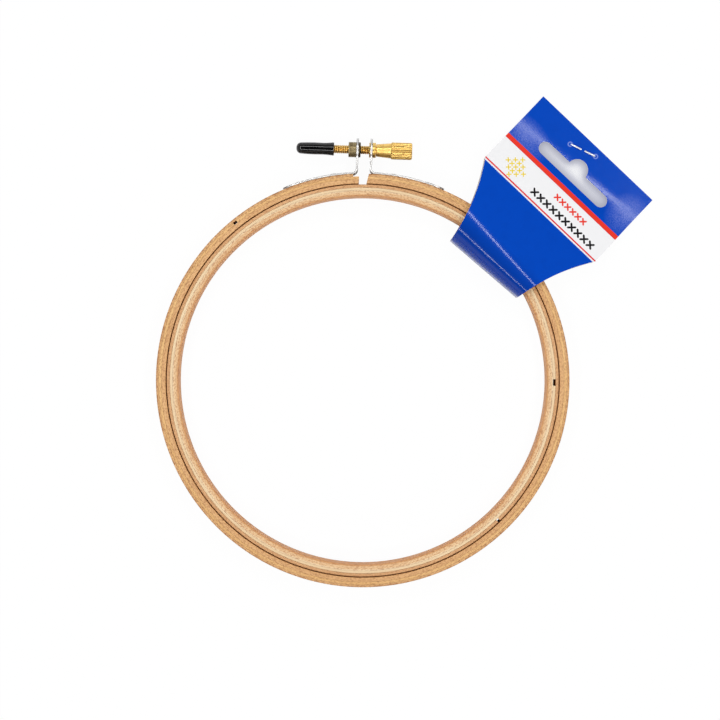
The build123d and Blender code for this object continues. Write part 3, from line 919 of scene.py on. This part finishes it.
# %% Colours and places of the print
CARD_ANGLE = radians(48.3)
RED, WHITE, BLUE = srgb(228, 58, 42), srgb(236, 236, 237), srgb(0, 68, 182)
BLACK, YELLOW = srgb(28, 26, 28), srgb(232, 205, 60)
LIGHT_FIBRE, DARK_BLUE, FOLD_SHADE_BLUE = srgb(90, 120, 210), srgb(0, 52, 150), srgb(0, 44, 130)
SHEEN_BLUE, PIERCED_BLUE = srgb(160, 172, 230), srgb(150, 170, 232)
FOLD_SHADE_TO, FOLD_SHADE_OVER = 60.0, 7.0
PRINT_BLUR = 0.16
PRINTED_BANDS = ((79.4, 79.9, WHITE), (79.9, 80.4, RED), (80.4, 90.0, WHITE), (90.0, 91.6, RED))
BLACK_ROW, RED_ROW = (82.9, -24.6, 3.1, 2.77, 0.17), (87.0, -17.5, -3.7, 2.3, 0.17)
MOTIF_ALONG, MOTIF_ACROSS, MOTIF_PITCH, MOTIF_ROWS = 84.7, 11.8, 1.7, 2
SHEEN_PATCHES = ((94.6, 17.0, 6.5, 11.0), (98.6, -25.0, 8.0, 7.0))
PIERCED_AT = ((103.0, 4.1), (105.8, -4.7))
print("printed bands", len(PRINTED_BANDS), "and rubbed patches", len(SHEEN_PATCHES))

# %% [markdown]
# Each colour is blended over the one before it, in the order of the real print: the blue ground, a painted
# shade towards the fold, the rougher coating with its painted sheen, the bands, and the stitches on them.

# %% Printed card
paint = Paint("printed_card", Specular_IOR_Level=0.3)
place = paint.place(turn=-CARD_ANGLE)
along, across, up = paint.split(place)


def stitches(row, start, end, pitch, thick, tall=0.42):
    """A row of cross-stitches at this distance along the card, from one place across it to another."""
    cell = ((across - start) / pitch).math("FRACT") - 0.5
    rise = ((along - row) / pitch).size()
    arms = 1 - (cell.size() - rise).size().step(thick, 0.06)
    inside = (1 - rise.step(tall, 0.04)) * (1 - cell.size().step(tall, 0.04))
    return arms * inside * across.between(min(start, end), max(start, end), 0.05)


fibres = paint.noise(place, 4.5, 3.0, 0.65)
mottle = paint.noise(place, 0.35, 2.0)
tooth = paint.noise(place, 2.4, 2.0, 0.6)
colour = paint.blend(fibres.step(0.7, 0.1) * 0.12, BLUE, LIGHT_FIBRE)
colour = paint.blend(mottle.step(0.6, 0.3) * 0.12, colour, DARK_BLUE)
# Painted shade: the blue turns darker towards the fold.
colour = paint.blend((1 - along.step(FOLD_SHADE_TO, FOLD_SHADE_OVER)) * 0.75, colour, FOLD_SHADE_BLUE)
# Painted sheen: in each patch the blue is lightened, and the coating is also rougher.
rough_sheen = 0
for centre_along, centre_across, reach_along, reach_across in SHEEN_PATCHES:
    off_along = (along - centre_along) / reach_along
    off_across = (across - centre_across) / reach_across
    distance = (off_along * off_along + off_across * off_across).root()
    rough_sheen = rough_sheen + (1 - distance.step(0.55, 0.9))
speckle = tooth.step(0.5, 0.3) * 0.6 + fibres.step(0.5, 0.3) * 0.4
colour = paint.blend(rough_sheen * speckle * 0.45, colour, SHEEN_BLUE)
for low, high, ink in PRINTED_BANDS:
    colour = paint.blend(along.between(low, high, PRINT_BLUR), colour, ink)
colour = paint.blend(stitches(*BLACK_ROW), colour, BLACK)
colour = paint.blend(stitches(*RED_ROW), colour, RED)
for row in range(-MOTIF_ROWS, MOTIF_ROWS + 1):
    half = (MOTIF_ROWS - abs(row) + 0.5) * MOTIF_PITCH
    motif_row = stitches(
        MOTIF_ALONG + row * MOTIF_PITCH, MOTIF_ACROSS - half, MOTIF_ACROSS + half, MOTIF_PITCH, 0.16, 0.4)
    colour = paint.blend(motif_row, colour, YELLOW)
for pierced_along, pierced_across in PIERCED_AT:
    off_along, off_across = along - pierced_along, across - pierced_across
    halo = (off_along * off_along + off_across * off_across).root().between(0.5, 0.85, 0.2)
    colour = paint.blend(halo * 0.6, colour, PIERCED_BLUE)
printed_card = paint.finish(
    colour, 0.1 + fibres * 0.06 + rough_sheen * 0.14, paint.bump(fibres * 0.6 + tooth * 0.4, 0.02, 0.4))
print("printed finish with", len(paint.tree.nodes), "nodes")

# %% [markdown]
# Where the board was cut, and on its inside, the pale board shows, so the card has a second finish.

# %% Raw board
paint = Paint("raw_board", Specular_IOR_Level=0.3)
pulp = paint.noise(paint.place(), 2.5, 4.0, 0.7)
raw_board = paint.finish(
    paint.blend(pulp, srgb(232, 230, 226), srgb(204, 202, 200)), 0.7 + pulp * 0.15,
    paint.bump(pulp, 0.04, 0.5))
print("second finish:", raw_board.name)

# %% [markdown]
# ## The folded card
#
# The card's side view is one line: along the back panel, under the rings, up at the fold, over the rings
# and down to where both panels meet. That line is drawn at both ends of the fold, the two are bridged
# into a sheet, and Solidify gives it the board's thickness. Bending a flat card would need a deformer,
# and the drawn line gives the same bends directly. A bend is a radius and a number of steps, and the
# crest's bends grow wider towards the left.

# %% Sheet of the card
FOLD_ANGLE = radians(51.3)
CARD_THICKNESS = 0.35
CARD_END, PANELS_MEET, BACK_BEND_AT, FOLD_AT = 127.3, 97.0, 73.95, 53.325
BACK_HEIGHT, FRONT_HEIGHT, CREST_HEIGHT = 0.825, 1.225, 13.575
SHEET_RIGHT, SHEET_LEFT = -36.0, 24.0
CREST_NARROW, CREST_OVER = -20.5, 28.4
CREST_AT, CREST_SHIFT = 59.6, 3.4
FOLD_RADIUS, FOLD_GROWTH, FOLD_STEPS = 4.5, 1.5, 18
CREST_RADIUS, CREST_GROWTH, CREST_STEPS = 6.0, 5.0, 12
BACK_BEND, HEEL_BEND, LAP_BEND = (60, 8), (2.5, 8), (24, 12)
SHEET_CUTS = 24


def rounded(points, corners):
    """The points of a line whose corners are arcs, each given as a radius and a number of steps."""
    line = [points[0]]
    for before, corner, after, (radius, count) in zip(points, points[1:], points[2:], corners):
        before, corner, after = Vector(before), Vector(corner), Vector(after)
        way_in, way_out = (corner - before).normalized(), (after - corner).normalized()
        turn = way_in.angle_signed(way_out)
        start = corner - way_in * radius * tan(abs(turn) / 2)
        spoke = Vector((-way_in.y, way_in.x)) * (radius if turn > 0 else -radius)
        centre = start - spoke
        for step in range(count + 1):
            swing = -turn * step / count
            line.append((
                centre.x + spoke.x * cos(swing) - spoke.y * sin(swing),
                centre.y + spoke.x * sin(swing) + spoke.y * cos(swing)))
    return line + [points[-1]]


def side_line(across_fold):
    """The card seen from the side, at one place along the fold."""
    share = (across_fold - CREST_NARROW) / CREST_OVER
    half_board = CARD_THICKNESS / 2
    points = [
        (CARD_END, BACK_HEIGHT), (PANELS_MEET, BACK_HEIGHT), (BACK_BEND_AT, half_board),
        (FOLD_AT, half_board), (FOLD_AT, CREST_HEIGHT), (CREST_AT + CREST_SHIFT * share, CREST_HEIGHT),
        (PANELS_MEET, FRONT_HEIGHT), (CARD_END, FRONT_HEIGHT)]
    fold_bend = (FOLD_RADIUS + FOLD_GROWTH * share, FOLD_STEPS)
    crest_bend = (CREST_RADIUS + CREST_GROWTH * share, CREST_STEPS)
    corners = [BACK_BEND, BACK_BEND, HEEL_BEND, fold_bend, crest_bend, LAP_BEND]
    return [(reach, across_fold, height) for reach, height in rounded(points, corners)]


card = joined([drawn(side_line(across_fold)) for across_fold in (SHEET_LEFT, SHEET_RIGHT)])
edit(card)
bpy.ops.mesh.bridge_edge_loops(number_cuts=SHEET_CUTS, interpolation="LINEAR")
move(card, (0, 0, 0), FOLD_ANGLE)
tidy_shell(card)
print("sheet", len(card.data.polygons), "faces")
apply_modifier(
    card, "SOLIDIFY", thickness=MM * CARD_THICKNESS, offset=0.0, use_even_offset=True, use_rim=True)

# %% [markdown]
# ## Outline and hang slot
#
# A real card is cut while it is flat. Here the folded sheet is cut, which makes both panels match: a
# block with the card's outline keeps only what lies inside it, and two more blocks take out the slot and
# its hump. The outline is narrow at the fold and widens in one arc towards the panels.

# %% Outline and slot
CARD_TOP, CARD_OFFSET, CARD_HALF_WIDTH = 108.3, -3.4, 24.7
SHOULDER_AT, WAIST_POINT, WAIST_END = 80.2, (66.95, 17.9), (53.15, 14.2)
CUTTER_START, CUTTER_LOW, CUTTER_HIGH = 34.0, -5, 20
SLOT_CENTRE, SLOT_LENGTH, SLOT_WIDTH = 96.3, 29.3, 4.5
HUMP_RADIUS, HUMP_RISE = 3.6, 2.1


def outline_cutter(points):
    """A block with this outline in the card's own plane, for cutting."""
    cutter = drawn([(x, y, CUTTER_LOW) for x, y in points], closed=True)
    bpy.ops.mesh.select_all(action="SELECT")
    height = metres(0, 0, CUTTER_HIGH - CUTTER_LOW)
    bpy.ops.mesh.extrude_region_move(TRANSFORM_OT_translate={"value": height})
    return tidy_shell(move(cutter, (0, 0, 0), CARD_ANGLE))


waist = arc_points((SHOULDER_AT, CARD_HALF_WIDTH), WAIST_POINT, WAIST_END, 32)
half_outline = [(CARD_TOP, CARD_HALF_WIDTH), *waist, (CUTTER_START, WAIST_END[1])]
outline = [(x, CARD_OFFSET + y) for x, y in half_outline]
outline += [(x, CARD_OFFSET - y) for x, y in reversed(half_outline)]
cut(card, outline_cutter(outline), "INTERSECT")

end_radius, end_y = SLOT_WIDTH / 2, (SLOT_LENGTH - SLOT_WIDTH) / 2
slot_outline = []
for way in (1, -1):
    slot_outline += [
        (SLOT_CENTRE + way * end_radius * cos(turn), CARD_OFFSET + way * (end_y + end_radius * sin(turn)))
        for turn in (radians(9 * step) for step in range(21))]
cut(card, outline_cutter(slot_outline))
hump_outline = [
    (SLOT_CENTRE + HUMP_RISE + HUMP_RADIUS * cos(turn), CARD_OFFSET + HUMP_RADIUS * sin(turn))
    for turn in (radians(7.5 * step) for step in range(48))]
cut(card, outline_cutter(hump_outline))
tidy_shell(card, 0.002)
print("punched card", len(card.data.polygons), "faces")

# %% [markdown]
# ## Printed and raw faces
#
# The cut edges and the inside get the raw board. A face is printed when it looks away from the loop's
# middle: upwards on the front panel, downwards on the back panel and inwards at the fold.

# %% Printed and raw faces
BETWEEN_PANELS = 1.03
LOOP_TAPER = 30.0
FOLD_ZONE = 4.0
FACES_OUT, FACES_BACK = 0.2, 0.3
fold_way = Vector((cos(FOLD_ANGLE), sin(FOLD_ANGLE), 0))


def is_raw(face):
    centre, normal = face.calc_center_median() / MM, face.normal
    reach = centre.dot(fold_way)
    openness = min(1, (PANELS_MEET - reach) / LOOP_TAPER)
    middle = max(BETWEEN_PANELS, CREST_HEIGHT / 2 * openness)
    outwards = normal.z if centre.z > middle else -normal.z
    if reach < FOLD_AT + FOLD_ZONE:
        outwards = max(outwards, -normal.dot(fold_way))
        if reach > FOLD_AT + CARD_THICKNESS / 4 and normal.dot(fold_way) > FACES_BACK:
            outwards = -1
    return outwards < FACES_OUT


card.data.materials.append(printed_card)
card.data.materials.append(raw_board)
edit(card, "FACE")
print("raw faces", pick(card, "faces", is_raw))
card.active_material_index = 1
bpy.ops.object.material_slot_assign()
dress(smooth(card, angle=25), "folded_card", None, "printed_card", "hang_card", "hang_card")

# %% [markdown]
# ## The table
#
# The hoop lies on a table so bright that it shows plain white. A white surface alone would turn grey
# under the rings, so the camera sees it glow, while the hoop gets light from it as from a real surface.
# In the card's slot the table does look grey, and there the glow is dimmed by how much the card hides.

# %% Table
TABLE_WIDTH, TABLE_DROP = 24000.0, 0.02
TABLE_WHITE, GLOW_WHITE = (0.93, 0.94, 0.97, 1.0), (1, 1, 1, 1)
DEEP_SHADE, LIGHT_SHADE = (0.41, 0.42, 0.5, 1.0), (0.6, 0.61, 0.69, 1.0)
SLOT_ALONG, SLOT_ACROSS = (88.0, 106.0, 3.0), (-22.0, 15.0, 3.0)
SHADE_REACH = 6.0
GLOW_SHARE = 0.96

clear_selection()
bpy.ops.mesh.primitive_plane_add(size=MM * TABLE_WIDTH, location=metres(0, 0, -TABLE_DROP))
table = bpy.context.object
table.name = "white_table"
paint = Paint("white_table", Roughness=0.8, Specular_IOR_Level=0.1, Base_Color=TABLE_WHITE)
table_along, table_across, up = paint.split(paint.place(turn=-CARD_ANGLE))
under_card = table_along.between(*SLOT_ALONG) * table_across.between(*SLOT_ACROSS)
open_sky = paint.node(
    "ShaderNodeAmbientOcclusion", {"samples": 16}, {"Distance": MM * SHADE_REACH}, output="AO")
in_slot = under_card * (1 - open_sky.step(0.9, 0.1))
shade = paint.blend(open_sky.step(0.68, 0.4), DEEP_SHADE, LIGHT_SHADE)
glow = paint.node(
    "ShaderNodeEmission", {}, {"Color": paint.blend(in_slot, GLOW_WHITE, shade), "Strength": 1.0})
surface = Wire(paint, paint.shader.outputs[0])
seen = paint.node("ShaderNodeLightPath", output="Is Camera Ray")
mixed = paint.node("ShaderNodeMixShader", {}, {0: seen * GLOW_SHARE, 1: surface, 2: glow})
paint.link(mixed, paint.tree.nodes["Material Output"].inputs["Surface"])
table.data.materials.append(paint.material)
print("table", MM * TABLE_WIDTH, "m wide")

# %% [markdown]
# ## Lamps and room
#
# Four long lamps hang in a rectangle over the table. They draw the narrow double lines on the round cap
# and the brass, which one large lamp would blur into a broad shine. The room is white near the horizon,
# which lights the sides of the rings, and darker overhead.

# %% Lamps and room
LAMP_HEIGHT, LAMP_X, LAMP_Y, LAMP_WIDTH = 600.0, 240.0, 370.0, 50.0
LAMP_SHIFT = 40.0
LAMP_GLOW = 13.6
WHITE_BELOW, DARK_ABOVE = 0.35, 0.6
HORIZON, OVERHEAD = (1.0, 1.0, 1.0, 1.0), (0.07, 0.07, 0.073, 1.0)

lamp_places = [
    (0, LAMP_Y, 2 * LAMP_X, 0), (0, -LAMP_Y, 2 * LAMP_X, 0),
    (LAMP_X, 0, 2 * LAMP_Y, pi / 2), (-LAMP_X, 0, 2 * LAMP_Y, pi / 2)]
for index, (x, y, length, turn) in enumerate(lamp_places):
    light = bpy.data.lights.new(f"lamp_{index}", "AREA")
    light.shape = "RECTANGLE"
    light.size, light.size_y = metres(length, LAMP_WIDTH)
    light.energy = LAMP_GLOW * pi * MM * length * MM * LAMP_WIDTH
    lamp = bpy.data.objects.new(f"lamp_{index}", light)
    lamp.location = metres(x, y + LAMP_SHIFT, LAMP_HEIGHT)
    lamp.rotation_euler = (0, 0, turn)
    bpy.context.scene.collection.objects.link(lamp)
    print(light.name, "is", length, "mm long")

world = bpy.data.worlds.new("white_room")
bpy.context.scene.world = world
world.use_nodes = True
tree = world.node_tree
background = tree.nodes["Background"]
direction = tree.nodes.new("ShaderNodeTexCoord")
parts = tree.nodes.new("ShaderNodeSeparateXYZ")
ramp = tree.nodes.new("ShaderNodeValToRGB")
for stop, position, tone in zip(
        ramp.color_ramp.elements, (WHITE_BELOW, DARK_ABOVE), (HORIZON, OVERHEAD)):
    stop.position = position
    stop.color = tone
tree.links.new(direction.outputs["Generated"], parts.inputs[0])
tree.links.new(parts.outputs["Z"], ramp.inputs[0])
tree.links.new(ramp.outputs[0], background.inputs["Color"])
background.inputs["Strength"].default_value = 1.0
